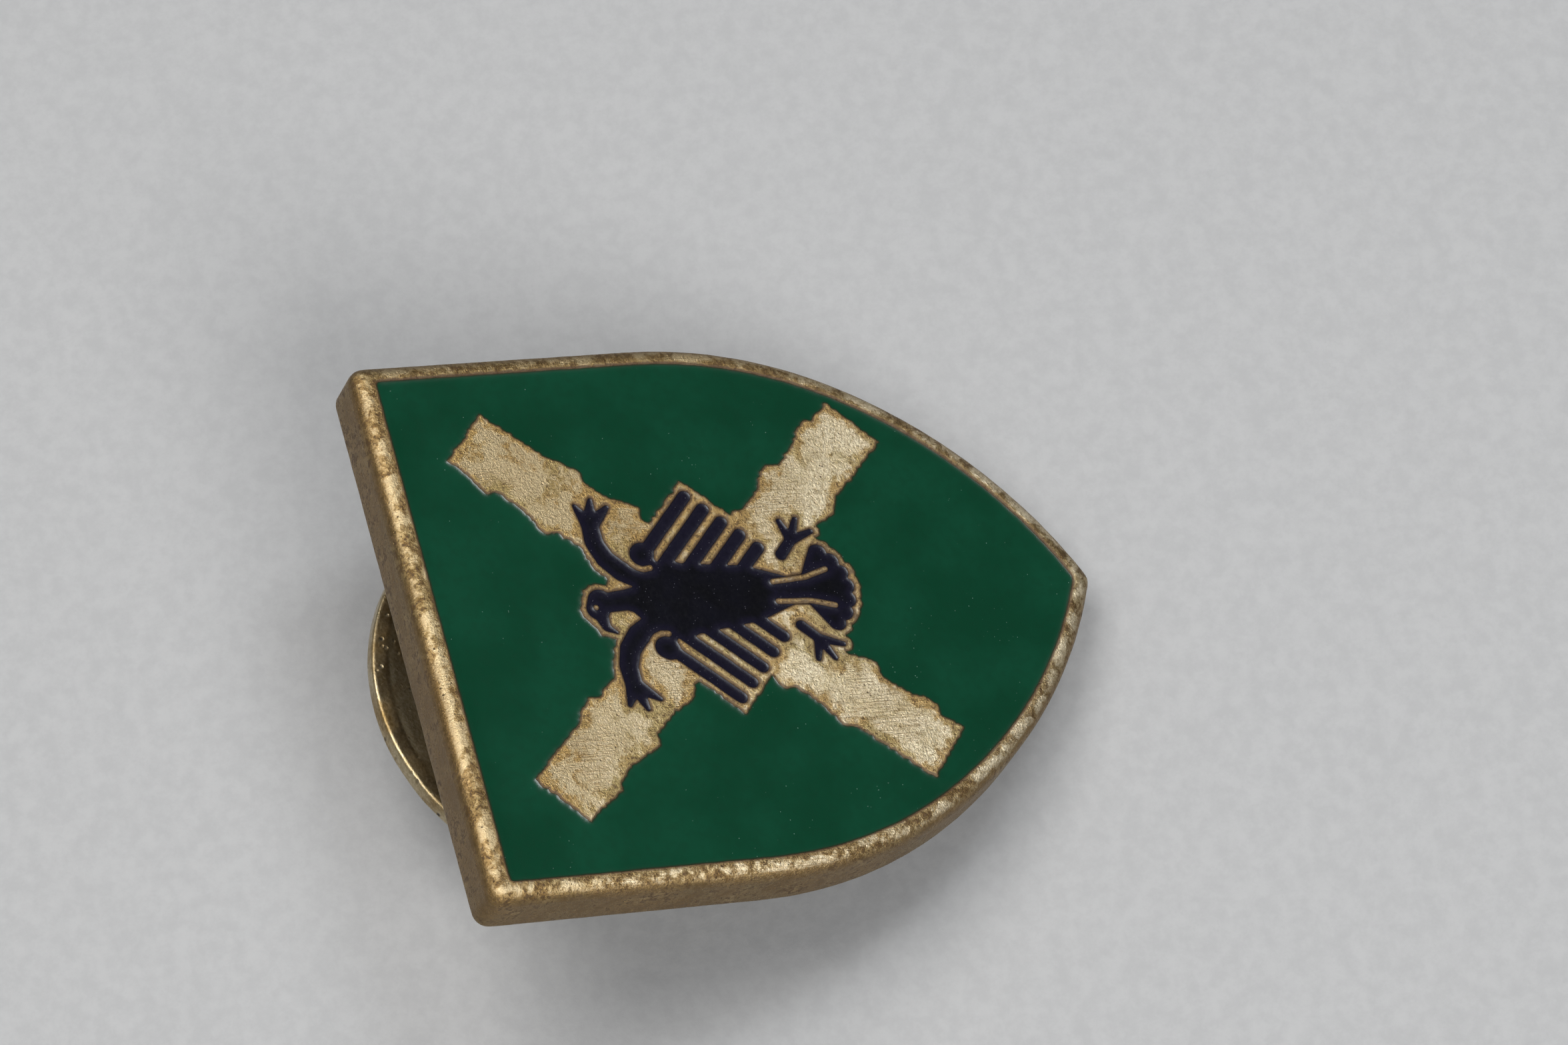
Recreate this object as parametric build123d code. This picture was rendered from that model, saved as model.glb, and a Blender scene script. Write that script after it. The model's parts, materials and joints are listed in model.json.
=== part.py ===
"""Shield-shaped enamelled cap badge with a screw-back fixing, lying face up on a flat surface.

Every piece is drawn in badge coordinates: X to the right, Y up the shield, Z out of the face,
with the origin in the middle of the top edge on the face. `placed` then tips the pieces into the
pose in which the badge rests: on the shield's point and on the lower edge of the backing disc.
All lengths are in millimetres.
"""

import os
from math import acos, atan2, cos, degrees, radians, sin

from build123d import *

# shield plate
SHIELD_WIDTH = 16.0
SIDE_STRAIGHT = 8.1
SHOULDER_RADIUS = 11.75
SHOULDER_TURN = 29.0
POINT_RADIUS = 13.7
PLATE_THICK = 1.6
CORNER_RADIUS = 0.4
RIM_WIDTH = 0.53
TOP_RIM_WIDTH = 0.65
RIM_ROUNDING = 0.25

# enamel
CELL_DEPTH = 0.45
FIELD_SINK = 0.05
BIRD_SINK = 0.09

# saltire of two ragged staves
SALTIRE_CENTRE = (0.15, -8.54)
STAVE_TURN = 47.0
UPPER_ARM = 8.0
LOWER_ARM = 7.45
STAVE_HALF_WIDTH = 0.92
KNOT_HEIGHT = 0.26
KNOT_PITCH = 1.9
KNOT_LENGTH = 1.1

# bird with spread wings, struck a little to the right of the middle
BIRD_SHIFT = 0.3
FEATHER_COUNT = 5
FEATHER_PITCH = 0.6
FEATHER_RADIUS = 0.18
WING_TIP = (3.05, -8.5)
WING_ROOT_X = 0.75
BORDER = 0.17
WING_ARC_CENTRE = (2.1, -7.0)
WING_ARC_RADIUS = 1.45
SCROLL_CENTRE = (1.4, -6.8)
LINE_RADIUS = 0.085
TAIL_ROOT_Y = -11.1
TAIL_LENGTH = 1.3
TAIL_FEATHER_TURNS = (-54.0, -36.0, -18.0, 0.0, 18.0, 36.0, 54.0)

# screw-back fixing
POST_Y = -6.0
POST_RADIUS = 1.22
POST_END_Z = -6.2
SEAT_RADIUS = 2.5
SEAT_DEPTH = 0.1
FLANGE_RADIUS = 2.1
FLANGE_THICK = 0.45
SOLDER_HEIGHT = 0.3
DISC_RADIUS = 5.9
DISC_HOLE_RADIUS = 1.31
DISC_RIM_FRONT_Z = -4.1
DISC_RIM_HEIGHT = 0.5
DISC_SHEET = 0.4
DISH_DEPTH = 0.35
DISC_LIP = 0.55
NUT_RADIUS = 2.25
NUT_BORE_RADIUS = 1.27
NUT_THICK = 0.93
NUT_GAP = 0.03
NUT_FLUTES = 20
FLUTE_RADIUS = 0.16

BACK_Z = -PLATE_THICK
DISC_BACK_Z = DISC_RIM_FRONT_Z - DISH_DEPTH - DISC_SHEET


def side_arc(angle):
    """Centre and radius of the arc the shield's side follows where it has turned by `angle`."""
    x = SHIELD_WIDTH / 2 - SHOULDER_RADIUS
    y = -SIDE_STRAIGHT
    if angle <= SHOULDER_TURN:
        return x, y, SHOULDER_RADIUS
    turn = radians(SHOULDER_TURN)
    x += (SHOULDER_RADIUS - POINT_RADIUS) * cos(turn)
    y -= (SHOULDER_RADIUS - POINT_RADIUS) * sin(turn)
    return x, y, POINT_RADIUS


def on_side(angle, inset, sign=1):
    """Point on one side of the outline moved inwards by `inset`, after a turn of `angle`."""
    x, y, radius = side_arc(angle)
    turn = radians(angle)
    return (sign * (x + (radius - inset) * cos(turn)), y - (radius - inset) * sin(turn))


def point_turn(inset):
    """Angle the side has turned by, in degrees, where it meets the middle line."""
    x, _, radius = side_arc(90.0)
    return degrees(acos(-x / (radius - inset)))


def shield_face(inset, top_inset):
    """The shield's outline moved inwards by `inset`, and by `top_inset` along the top edge."""
    last = point_turn(inset)
    side = SHIELD_WIDTH / 2 - inset
    top = -top_inset
    edges = [Line((-side, top), (side, top))]
    for sign in (-1, 1):
        edges += [
            Line((sign * side, top), on_side(0, inset, sign)),
            ThreePointArc(
                on_side(0, inset, sign),
                on_side(SHOULDER_TURN / 2, inset, sign),
                on_side(SHOULDER_TURN, inset, sign),
            ),
            ThreePointArc(
                on_side(SHOULDER_TURN, inset, sign),
                on_side((SHOULDER_TURN + last) / 2, inset, sign),
                on_side(last, inset, sign),
            ),
        ]
    return make_face(Wire(edges))


def resting_lean():
    """Tilt, in degrees, of a badge resting on its point and on the edge of the backing disc."""
    shield_height = -on_side(point_turn(0), 0)[1]
    rise = BACK_Z - (DISC_RIM_FRONT_Z - DISC_RIM_HEIGHT)
    return degrees(atan2(rise, shield_height + POST_Y - DISC_RADIUS))


def stave(direction):
    """One straight stave of the saltire, with lopped knots staggered along its two edges."""
    count = int((UPPER_ARM + LOWER_ARM - 1.2) / KNOT_PITCH)
    edge_a = [(-LOWER_ARM, -STAVE_HALF_WIDTH)]
    edge_b = [(UPPER_ARM, STAVE_HALF_WIDTH)]
    for i in range(count):
        start = -LOWER_ARM + 0.75 + i * KNOT_PITCH
        rise = KNOT_HEIGHT * (1.0 if i % 2 else 0.75)
        edge_a += [
            (start, -STAVE_HALF_WIDTH),
            (start + 0.2 * KNOT_LENGTH, -STAVE_HALF_WIDTH - rise),
            (start + 0.55 * KNOT_LENGTH, -STAVE_HALF_WIDTH - 0.8 * rise),
            (start + KNOT_LENGTH, -STAVE_HALF_WIDTH),
        ]
        start = UPPER_ARM - 0.45 - i * KNOT_PITCH
        edge_b += [
            (start, STAVE_HALF_WIDTH),
            (start - 0.5 * KNOT_LENGTH, STAVE_HALF_WIDTH + 0.7 * rise),
            (start - 0.8 * KNOT_LENGTH, STAVE_HALF_WIDTH + rise),
            (start - KNOT_LENGTH, STAVE_HALF_WIDTH),
        ]
    edge_a.append((UPPER_ARM, -STAVE_HALF_WIDTH))
    edge_b.append((-LOWER_ARM, STAVE_HALF_WIDTH))
    outline = Polyline(*edge_a, *edge_b, close=True)
    face = make_face(outline)
    return Pos(*SALTIRE_CENTRE) * Rot(Z=direction) * face


def limb(start, end, grow):
    """Face that joins two circles (x, y, radius) by their common tangents."""
    x1, y1, r1 = start
    x2, y2, r2 = end
    r1 += grow
    r2 += grow
    dx, dy = x2 - x1, y2 - y1
    length = (dx * dx + dy * dy) ** 0.5
    heading = atan2(dy, dx)
    spread = atan2((length**2 - (r1 - r2) ** 2) ** 0.5, r1 - r2)

    def at(x, y, r, angle):
        return (x + r * cos(angle), y + r * sin(angle))

    left_1 = at(x1, y1, r1, heading + spread)
    left_2 = at(x2, y2, r2, heading + spread)
    right_1 = at(x1, y1, r1, heading - spread)
    right_2 = at(x2, y2, r2, heading - spread)
    far = at(x2, y2, r2, heading)
    near = at(x1, y1, r1, heading + radians(180))
    return make_face(
        Wire(
            [
                Line(left_1, left_2),
                ThreePointArc(left_2, far, right_2),
                Line(right_2, right_1),
                ThreePointArc(right_1, near, left_1),
            ]
        )
    )


def chain(knots, grow):
    """Limbs that join a run of circles one after another."""
    return [limb(a, b, grow) for a, b in zip(knots, knots[1:])]


def mirrored(knots, side):
    return [(side * x, y, r) for x, y, r in knots]


def arc_knots(centre, radius, start, stop, steps, r_start, r_stop):
    """Circles along an arc, from one thickness to another."""
    knots = []
    for i in range(steps + 1):
        t = i / steps
        turn = radians(start + (stop - start) * t)
        x = centre[0] + radius * cos(turn)
        y = centre[1] + radius * sin(turn)
        knots.append((x, y, r_start + (r_stop - r_start) * t))
    return knots


def bird_limbs(grow):
    """Body, head in profile, plumed wing wrists, feather bars and fan tail of the bird."""
    limbs = chain([(0, -10.9, 0.36), (0, -9.5, 0.85), (0, -7.7, 1.08), (0, -6.7, 0.62)], grow)
    limbs += chain([(0, -6.8, 0.55), (0.1, -6.05, 0.31), (0.06, -5.4, 0.29)], grow)
    limbs += chain([(0.14, -5.28, 0.34), (-0.1, -5.16, 0.33)], grow)
    limbs += chain([(-0.2, -5.18, 0.22), (-0.66, -5.26, 0.12), (-0.84, -5.5, 0.05)], grow)
    for side in (-1, 1):
        arm = arc_knots(WING_ARC_CENTRE, WING_ARC_RADIUS, 205.0, 78.0, 6, 0.36, 0.25)
        limbs += chain(mirrored(arm, side), grow)
        wrist = arm[-1]
        for plume in ((3.0, -5.3, 0.07), (3.15, -5.78, 0.07), (2.9, -6.2, 0.07)):
            limbs += chain(mirrored([wrist, plume], side), grow)
        for k in range(FEATHER_COUNT):
            step = k * FEATHER_PITCH * cos(radians(45))
            x, y = WING_TIP[0] - step, WING_TIP[1] - step
            reach = x - WING_ROOT_X
            feather = [
                (WING_ROOT_X, y + reach, FEATHER_RADIUS),
                (x, y, FEATHER_RADIUS),
            ]
            limbs += chain(mirrored(feather, side), grow)
        scroll = (side * SCROLL_CENTRE[0], SCROLL_CENTRE[1])
        limbs += chain([(*scroll, 0.34), (scroll[0] + side * 0.05, scroll[1] - 0.05, 0.33)], grow)
        limbs += chain(mirrored([(1.3, -6.95, 0.12), (0.9, -7.2, 0.12)], side), grow)
    limbs += chain([(0, -10.8, 0.42), (0, TAIL_ROOT_Y - 0.6, 0.5)], grow)
    for turn in TAIL_FEATHER_TURNS:
        end = (
            TAIL_LENGTH * sin(radians(turn)),
            TAIL_ROOT_Y - TAIL_LENGTH * cos(radians(turn)),
            0.26,
        )
        limbs += chain([(0, TAIL_ROOT_Y, 0.12), end], grow)
    return limbs


def wing_plate(side):
    """Straight-edged metal plate that the feather bars of one wing are sunk into."""
    half = cos(radians(45))
    last = (FEATHER_COUNT - 1) * FEATHER_PITCH * half
    out = (FEATHER_RADIUS + BORDER) * half
    tip = (WING_TIP[0] + 2 * out, WING_TIP[1])
    heel = (WING_TIP[0] - last, WING_TIP[1] - last - 2 * out)
    corners = [
        (0.5, WING_TIP[1] + tip[0] - 0.5),
        tip,
        heel,
        (0.5, heel[1] + heel[0] - 0.5),
    ]
    return make_face(Polyline(*[(side * x, y) for x, y in corners], close=True))


def bird_lines():
    """Thin metal lines that stand inside the bird: scrolls, tail quills and the eye."""
    lines = chain([(-0.06, -5.12, 0.075), (-0.05, -5.11, 0.075)], 0)
    for side in (-1, 1):
        curl = arc_knots(SCROLL_CENTRE, 0.43, 70.0, 200.0, 5, LINE_RADIUS, LINE_RADIUS)
        lines += chain(mirrored(curl, side), 0)
        quill = [(0.3, -10.35, LINE_RADIUS), (0.36, -11.3, LINE_RADIUS), (0.55, -11.95, LINE_RADIUS)]
        lines += chain(mirrored(quill, side), 0)
    return lines


def claw_limbs(side, grow):
    """Shank and three toes of one leg, beside the tail."""
    knee = (1.08, -10.8, 0.16)
    foot = (1.5, -11.2, 0.15)
    limbs = chain(mirrored([knee, foot], side), grow)
    for toe in ((2.1, -11.02, 0.08), (2.12, -11.5, 0.08), (1.72, -11.85, 0.08)):
        limbs += chain(mirrored([foot, toe], side), grow)
    return limbs


def merged(faces):
    return Sketch() + faces


def slab(sketch, low, high):
    """Prism of a flat drawing between two heights."""
    return extrude(Pos(0, 0, low) * sketch, high - low, dir=(0, 0, 1))


def ring(outer, inner, low, high):
    """Turned ring about the post's axis."""
    middle = (low + high) / 2
    tall = high - low
    return Pos(0, POST_Y, middle) * (Cylinder(outer, tall) - Cylinder(inner, tall + 1))


def turned(points):
    """Solid of revolution about the post's axis from (radius, z) points."""
    profile = make_face(Polyline(*[(r, 0, z) for r, z in points], close=True))
    return Pos(0, POST_Y, 0) * revolve(profile, Axis.Z)


def only_solid(shape):
    solids = shape.solids()
    assert len(solids) == 1, len(solids)
    return solids[0]


def make_badge_body(field, bird, claws):
    """Struck plate: raised rim, saltire and borders stand round the sunk enamel cells."""
    plate = slab(shield_face(0, 0), BACK_Z, 0)
    corners = plate.edges().filter_by(Axis.Z).sort_by(Axis.Y)[-2:]
    plate = fillet(corners, CORNER_RADIUS)
    plate = fillet(plate.faces().sort_by(Axis.Z)[-1].edges(), RIM_ROUNDING)
    for cell in [field, bird, *claws]:
        plate -= slab(cell, -CELL_DEPTH, 1.0)
    seat = Cylinder(SEAT_RADIUS, 2 * SEAT_DEPTH)
    plate -= Pos(0, POST_Y, BACK_Z) * seat
    return only_solid(plate)


def make_post():
    """Turned screw post with the flange that is soldered to the back of the plate."""
    seat_z = BACK_Z + SEAT_DEPTH
    flange_z = seat_z - FLANGE_THICK
    bevel = 0.2
    return turned(
        [
            (0, seat_z),
            (FLANGE_RADIUS, seat_z),
            (FLANGE_RADIUS, flange_z),
            (POST_RADIUS, flange_z),
            (POST_RADIUS, POST_END_Z + bevel),
            (POST_RADIUS - bevel, POST_END_Z),
            (0, POST_END_Z),
        ]
    )


def make_solder():
    """Bead of solder between the flange and the wall of its seat."""
    seat_z = BACK_Z + SEAT_DEPTH
    return turned(
        [
            (FLANGE_RADIUS, seat_z),
            (SEAT_RADIUS, seat_z),
            (SEAT_RADIUS, BACK_Z),
            (FLANGE_RADIUS + 0.15, BACK_Z - 0.1),
            (FLANGE_RADIUS, seat_z - SOLDER_HEIGHT),
        ]
    )


def make_disc():
    """Pressed backing disc, dished so that its lip faces the plate."""
    lip_back = DISC_RIM_FRONT_Z - DISC_RIM_HEIGHT
    floor_front = DISC_RIM_FRONT_Z - DISH_DEPTH
    return turned(
        [
            (DISC_HOLE_RADIUS, floor_front),
            (DISC_RADIUS - 2 * DISC_LIP, floor_front),
            (DISC_RADIUS - DISC_LIP, DISC_RIM_FRONT_Z),
            (DISC_RADIUS, DISC_RIM_FRONT_Z),
            (DISC_RADIUS, lip_back),
            (DISC_RADIUS - 2.2 * DISC_LIP, DISC_BACK_Z),
            (DISC_HOLE_RADIUS, DISC_BACK_Z),
        ]
    )


def make_nut():
    """Thin round thumb nut with a fluted edge."""
    front = DISC_BACK_Z - NUT_GAP
    back = front - NUT_THICK
    nut = ring(NUT_RADIUS, NUT_BORE_RADIUS, back, front)
    for i in range(NUT_FLUTES):
        turn = radians(360 * i / NUT_FLUTES)
        flute = Cylinder(FLUTE_RADIUS, NUT_THICK + 1)
        nut -= Pos(
            NUT_RADIUS * cos(turn),
            POST_Y + NUT_RADIUS * sin(turn),
            (back + front) / 2,
        ) * flute
    return only_solid(nut)


def make_pieces():
    across = Pos(BIRD_SHIFT, 0)
    bird = across * (merged(bird_limbs(0)) - merged(bird_lines()))
    claws = [across * merged(claw_limbs(side, 0)) for side in (-1, 1)]
    charge = merged(bird_limbs(BORDER))
    for side in (-1, 1):
        charge += merged([wing_plate(side), *claw_limbs(side, BORDER)])
    raised = merged([stave(STAVE_TURN), stave(180 - STAVE_TURN)]) + across * charge
    pockets = (shield_face(RIM_WIDTH, TOP_RIM_WIDTH) - raised).faces()
    # the tiny pockets left between the borders stay metal
    field = Sketch() + pockets.sort_by(SortBy.AREA)[-1]
    return {
        "badge_body": make_badge_body(field, bird, claws),
        "enamel_field": only_solid(slab(field, -CELL_DEPTH, -FIELD_SINK)),
        "enamel_bird": only_solid(slab(bird, -CELL_DEPTH, -BIRD_SINK)),
        "enamel_claw_left": only_solid(slab(claws[0], -CELL_DEPTH, -BIRD_SINK)),
        "enamel_claw_right": only_solid(slab(claws[1], -CELL_DEPTH, -BIRD_SINK)),
        "screw_post": make_post(),
        "solder_bead": make_solder(),
        "backing_disc": make_disc(),
        "thumb_nut": make_nut(),
    }


def placed(pieces):
    """Tip the pieces into the resting pose and centre their box over the surface at Z = 0."""
    lean = resting_lean()
    tipped = {name: Rot(X=lean) * shape for name, shape in pieces.items()}
    box = Compound(list(tipped.values())).bounding_box()
    shift = Pos(-box.center().X, -box.center().Y, -box.min.Z)
    print("lean", round(lean, 4), "shift", shift.position)
    return {name: shift * shape for name, shape in tipped.items()}


if __name__ == "__main__":
    os.makedirs("parts", exist_ok=True)
    for name, shape in placed(make_pieces()).items():
        export_step(shape, f"parts/{name}.step")
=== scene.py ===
"""Shield cap badge: detailed meshes and aged-metal and enamel materials over the CAD frame.

Shapes are worked out in badge coordinates, in millimetres: X to the right of the face, Y up the
shield, Z out of the face, origin in the middle of the straight top edge on the face. `to_row`
turns them into the CAD row frame, in metres.
"""

import json
from math import atan2, cos, pi, radians, sin, sqrt

import bmesh
import bpy
import numpy as np
from mathutils import Matrix, Vector, kdtree, noise
from mathutils.geometry import delaunay_2d_cdt


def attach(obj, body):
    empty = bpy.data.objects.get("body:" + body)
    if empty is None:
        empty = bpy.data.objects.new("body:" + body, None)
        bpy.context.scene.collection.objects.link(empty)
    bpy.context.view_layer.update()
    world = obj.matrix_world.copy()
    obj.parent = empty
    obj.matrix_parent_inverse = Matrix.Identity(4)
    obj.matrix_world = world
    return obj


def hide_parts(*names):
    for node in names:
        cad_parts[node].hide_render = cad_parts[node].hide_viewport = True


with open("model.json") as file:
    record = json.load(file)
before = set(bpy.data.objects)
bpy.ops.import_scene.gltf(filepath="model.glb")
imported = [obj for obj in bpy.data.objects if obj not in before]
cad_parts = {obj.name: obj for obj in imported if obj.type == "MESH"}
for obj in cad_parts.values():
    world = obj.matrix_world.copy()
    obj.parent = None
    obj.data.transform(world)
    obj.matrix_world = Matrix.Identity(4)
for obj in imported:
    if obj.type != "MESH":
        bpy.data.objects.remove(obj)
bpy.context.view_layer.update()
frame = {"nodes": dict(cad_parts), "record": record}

MM = 0.001

# sizes shared with the CAD model
POST_Y = -6.0
BACK_Z = -1.6
CELL_Z = -0.45
SEAT_RADIUS = 2.5
SEAT_DEPTH = 0.1
FLANGE_RADIUS = 2.1
FLANGE_THICK = 0.45
POST_RADIUS = 1.22
POST_END_Z = -6.2
THREAD_PITCH = 0.45
DISC_RADIUS = 5.9
DISC_HOLE_RADIUS = 1.31
DISC_RIM_Z = -4.1
DISC_FLOOR_Z = -4.45
DISC_BACK_Z = -4.85
DISC_LIP_BACK_Z = -4.6
NUT_RADIUS = 2.25
NUT_BORE_RADIUS = 1.27
NUT_THICK = 0.93
NUT_GAP = 0.03
NUT_FLUTES = 20
NUT_PIVOT_Z = -5.0
SHIELD_MIDDLE = (0.0, -8.5)

# outline spacing and wear, enamel levels, and how high and how far out the enamel climbs at the metal
LOOP_STEP = 0.07
WEAR_SEED = 7
FIELD_LEVEL = -0.055
BIRD_LEVEL = -0.065
FIELD_CLIMB = (0.016, 0.09)
BIRD_CLIMB = (0.014, 0.05)
EDGE_WEAR_REACH = 0.07
EDGE_WEAR_DROP = 0.035
RIM_WEAR_REACH = 0.34
RIM_WEAR_DROP = 0.42

# palette of the gilding, from clean metal to packed grime
GILT_SHADE = (0.57, 0.45, 0.27)
GILT_LIGHT = (0.94, 0.83, 0.61)
GILT_HONEY = (0.74, 0.60, 0.34)
GILT_DULL = (0.46, 0.35, 0.19)
GILT_STROKE = (0.36, 0.25, 0.12)
FILM_TAN = (0.44, 0.28, 0.095)
FILM_OLIVE = (0.40, 0.30, 0.12)
FILM_RIM = (0.22, 0.145, 0.06)
CLUMP_BROWN = (0.11, 0.062, 0.022)
GRIT_BROWN = (0.055, 0.028, 0.009)
# brown of the walls and back: partly tarnish, partly painted shade on the plate's sides
WALL_TARNISH_AND_SHADE = (0.15, 0.09, 0.032)
SEAM_BROWN = (0.045, 0.022, 0.008)

# palette of the other pieces and the floor
GREEN_DEEP = (0.0008, 0.0255, 0.0112)
GREEN_PALE = (0.0018, 0.0335, 0.0162)
GREEN_FLECK = (0.0008, 0.022, 0.0096)
GREEN_BUBBLE = (0.05, 0.13, 0.09)
GREEN_DUST = (0.14, 0.24, 0.20)
GREEN_SEAM = (0.012, 0.016, 0.007)
NAVY_DEEP = (0.0010, 0.0010, 0.0018)
NAVY_PALE = (0.0018, 0.0018, 0.0040)
NAVY_THIN = (0.0045, 0.0038, 0.0105)
NAVY_SPECK = (0.12, 0.12, 0.15)
NICKEL_SHADE = (0.40, 0.33, 0.19)
NICKEL_LIGHT = (0.58, 0.50, 0.35)
NICKEL_FILM_DARK = (0.17, 0.105, 0.035)
NICKEL_FILM_PALE = (0.34, 0.23, 0.09)
NICKEL_PIT = (0.01, 0.008, 0.006)
BRASS_SHADE = (0.52, 0.40, 0.19)
BRASS_LIGHT = (0.70, 0.57, 0.32)
BRASS_FILM_DARK = (0.12, 0.08, 0.03)
BRASS_FILM_PALE = (0.25, 0.17, 0.07)
SOLDER_LIGHT = (0.42, 0.41, 0.39)
SOLDER_DARK = (0.20, 0.19, 0.17)
FLOOR_DARK = (0.250, 0.255, 0.262)
FLOOR_PALE = (0.277, 0.282, 0.289)
SKY_COLOUR = (0.93, 0.96, 1.0, 1.0)

# soft studio sky, brightest towards one side
SKY_SIDE = (-0.3, 0.45, 0.84)
SKY_LOW = 0.07
SKY_HIGH = 0.42

# disc lights in the row frame, in metres: name, place, diameter, power, colour
LIGHTS = (
    ("Key", (0.09, 0.10, 0.36), 0.26, 1.25, (1.0, 0.97, 0.93)),
    ("Window", (0.12, -0.16, 0.36), 0.12, 0.45, (0.95, 0.98, 1.0)),
    ("Fill", (-0.24, -0.06, 0.24), 0.20, 1.1, (1.0, 0.98, 0.95)),
)
FLOOR_HALF_SIZE = 0.6

# camera in badge coordinates
CAMERA_LENS = 186.23
CAMERA_PLACE = (-88.72, 78.19, 176.69)
CAMERA_RIGHT = (-0.25506, -0.90946, 0.32838)
CAMERA_DOWN = (-0.87201, 0.06961, -0.48451)
CAMERA_FORWARD = (0.41778, -0.40993, -0.81081)

record = frame["record"]
post_axis = Vector(record["behaviour"]["joints"][0]["axis"])
LEAN = atan2(post_axis.y, -post_axis.z)
nut_pivot = Vector(record["behaviour"]["joints"][1]["pos_m"])
to_row = Matrix.Rotation(LEAN, 4, "X") @ Matrix.Scale(MM, 4)
to_row = Matrix.Translation(nut_pivot - to_row @ Vector((0, POST_Y, NUT_PIVOT_Z))) @ to_row
to_badge = to_row.inverted()


# ---------------------------------------------------------------- outlines from the CAD nodes


def badge_mesh(node):
    """Welded vertices in badge coordinates and triangles of a CAD node."""
    mesh = frame["nodes"][node].data
    mesh.calc_loop_triangles()
    place = to_badge @ frame["nodes"][node].matrix_world
    index = {}
    welded = []
    remap = []
    for vertex in mesh.vertices:
        p = place @ vertex.co
        key = (round(p.x, 3), round(p.y, 3), round(p.z, 3))
        if key not in index:
            index[key] = len(welded)
            welded.append(p)
        remap.append(index[key])
    triangles = [[remap[i] for i in t.vertices] for t in mesh.loop_triangles]
    return welded, [t for t in triangles if len(set(t)) == 3]


def flat_loops(node, level):
    """Closed outlines of the node's flat area at one height, as lists of (x, y)."""
    points, triangles = badge_mesh(node)
    edges = {}
    for t in triangles:
        if max(abs(points[i].z - level) for i in t) > 0.004:
            continue
        for a, b in ((t[0], t[1]), (t[1], t[2]), (t[2], t[0])):
            if (b, a) in edges:
                del edges[(b, a)]
            else:
                edges[(a, b)] = True
    following = {}
    for a, b in edges:
        following.setdefault(a, []).append(b)
    loops = []
    while following:
        start = next(iter(following))
        loop = [start]
        current = start
        while True:
            onward = following[current]
            step = onward.pop()
            if not onward:
                del following[current]
            if step == start:
                break
            loop.append(step)
            current = step
        if len(loop) > 2:
            loops.append([(points[i].x, points[i].y) for i in loop])
    return loops


def resampled(loop, step):
    """The same closed outline with points added so that no side is longer than `step`."""
    out = []
    for (x1, y1), (x2, y2) in zip(loop, loop[1:] + loop[:1]):
        count = max(1, int(sqrt((x2 - x1) ** 2 + (y2 - y1) ** 2) / step))
        for i in range(count):
            t = i / count
            out.append((x1 + (x2 - x1) * t, y1 + (y2 - y1) * t))
    return out


def thinned(loop, gap):
    """The outline without points that crowd their neighbour."""
    out = [loop[0]]
    for p in loop[1:]:
        if (p[0] - out[-1][0]) ** 2 + (p[1] - out[-1][1]) ** 2 > gap * gap:
            out.append(p)
    return out


def worn(loop, amount, passes, step=LOOP_STEP, crumbs=0.6):
    """The outline with its corners worn round and an uneven line; `crumbs` is the fine part's share."""
    pts = np.array(resampled(thinned(loop, 0.02), step))
    for _ in range(passes):
        pts = 0.5 * pts + 0.25 * (np.roll(pts, 1, axis=0) + np.roll(pts, -1, axis=0))
    moved = []
    for x, y in pts:
        coarse = noise.noise_vector(Vector((x * 2.3, y * 2.3, 3.1)))
        fine = noise.noise_vector(Vector((x * 8.0, y * 8.0, 8.7)))
        push = (coarse + crumbs * fine) * amount
        moved.append((x + push.x, y + push.y))
    return moved


def segments(loops):
    """Start and end points of every side of the outlines."""
    starts = np.array([p for loop in loops for p in loop])
    ends = np.array([p for loop in loops for p in loop[1:] + loop[:1]])
    return starts, ends


def inside(points, loops):
    """Even-odd test of an array of points against all the outlines together."""
    a, b = segments(loops)
    result = np.zeros(len(points), bool)
    for lo in range(0, len(points), 2000):
        x = points[lo : lo + 2000, 0][:, None]
        y = points[lo : lo + 2000, 1][:, None]
        spans = (a[:, 1] > y) != (b[:, 1] > y)
        rise = np.where(b[:, 1] == a[:, 1], 1e-12, b[:, 1] - a[:, 1])
        cut = a[:, 0] + (y - a[:, 1]) * (b[:, 0] - a[:, 0]) / rise
        result[lo : lo + 2000] = (spans & (x < cut)).sum(axis=1) % 2 == 1
    return result


def distances(points, loops):
    """Distance from each point to the nearest outline."""
    dense = [p for loop in loops for p in resampled(loop, 0.02)]
    tree = kdtree.KDTree(len(dense))
    for i, (x, y) in enumerate(dense):
        tree.insert((x, y, 0), i)
    tree.balance()
    return np.array([tree.find((x, y, 0))[2] for x, y in points])


def offset_points(loop, gaps):
    """Points beside an outline, at each of the gaps, on both sides."""
    pts = np.array(loop)
    along = np.roll(pts, -1, axis=0) - np.roll(pts, 1, axis=0)
    along /= np.linalg.norm(along, axis=1)[:, None] + 1e-12
    across = np.stack([-along[:, 1], along[:, 0]], axis=1)
    return [(pts + across * gap * side, gap) for gap in gaps for side in (-1, 1)]


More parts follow.
